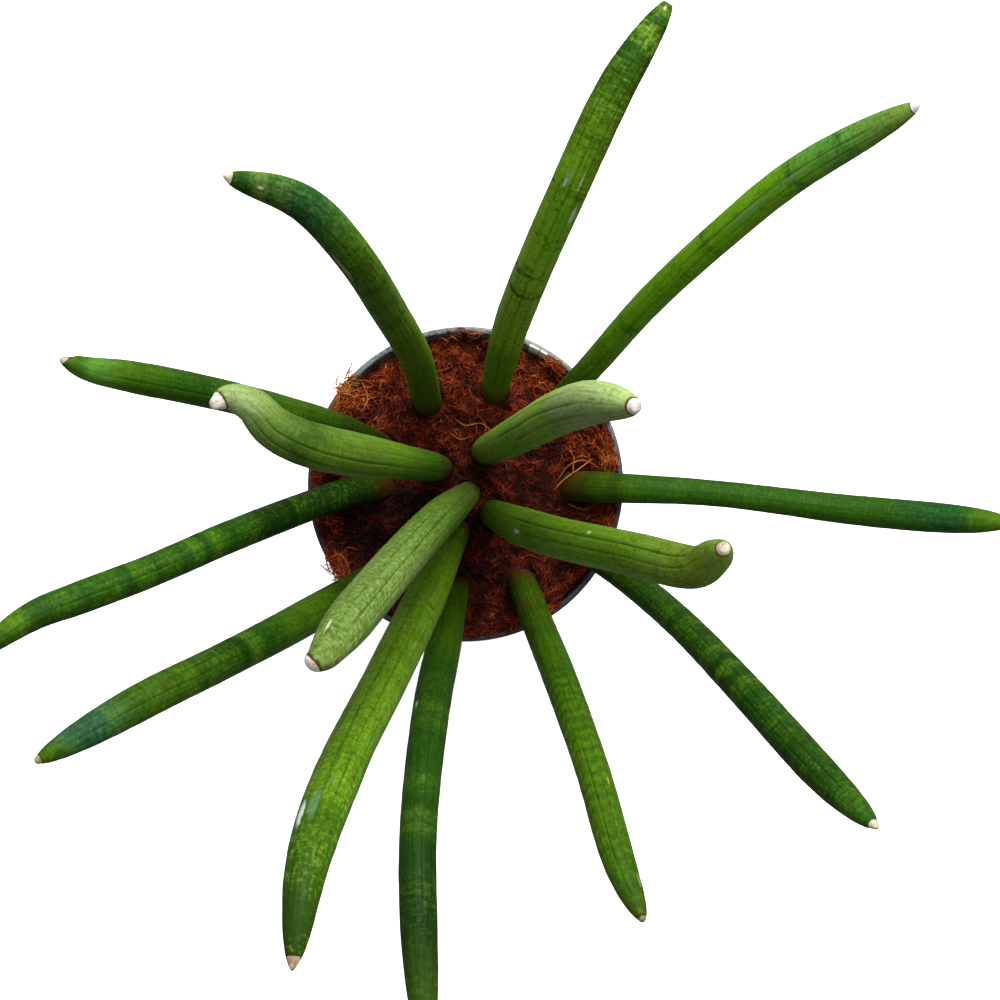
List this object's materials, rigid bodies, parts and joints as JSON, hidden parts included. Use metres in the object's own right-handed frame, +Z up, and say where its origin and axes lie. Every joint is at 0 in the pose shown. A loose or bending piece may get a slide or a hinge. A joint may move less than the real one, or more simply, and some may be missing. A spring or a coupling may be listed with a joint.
{
  "type": "potted cylindrical snake plant",
  "caption": "Cylindrical snake plant: upright and arching fluted rod leaves with blunt dry tips, rooted in coir in a round plastic nursery pot.",
  "frame": {"origin": "centre of the pot's flat underside", "axes": "+Z up along the pot's axis; +X to the low leaf that lies out over the rim"},
  "size_m": [0.4605, 0.3971, 0.4626],
  "materials": {
    "pot_plastic": "satin grey-black moulded plastic, dusty at the rim",
    "coir": "rough red-brown coconut fibre",
    "leaf_deep": "waxy dark green skin with fine cross bands",
    "leaf_mid": "waxy mid green skin with yellow-green cross bands",
    "leaf_pale": "waxy pale glaucous green skin with dark grooves"
  },
  "bodies": {
    "root": {"pot": "pot_plastic", "coir": "coir", "leaf_01": "leaf_deep", "leaf_02": "leaf_mid", "leaf_03": "leaf_mid", "leaf_04": "leaf_deep", "leaf_05": "leaf_deep", "leaf_06": "leaf_mid", "leaf_07": "leaf_deep", "leaf_08": "leaf_mid", "leaf_09": "leaf_pale", "leaf_10": "leaf_pale", "leaf_11": "leaf_mid", "leaf_12": "leaf_pale", "leaf_13": "leaf_deep", "leaf_14": "leaf_deep", "leaf_15": "leaf_deep"}
  },
  "joints": []
}
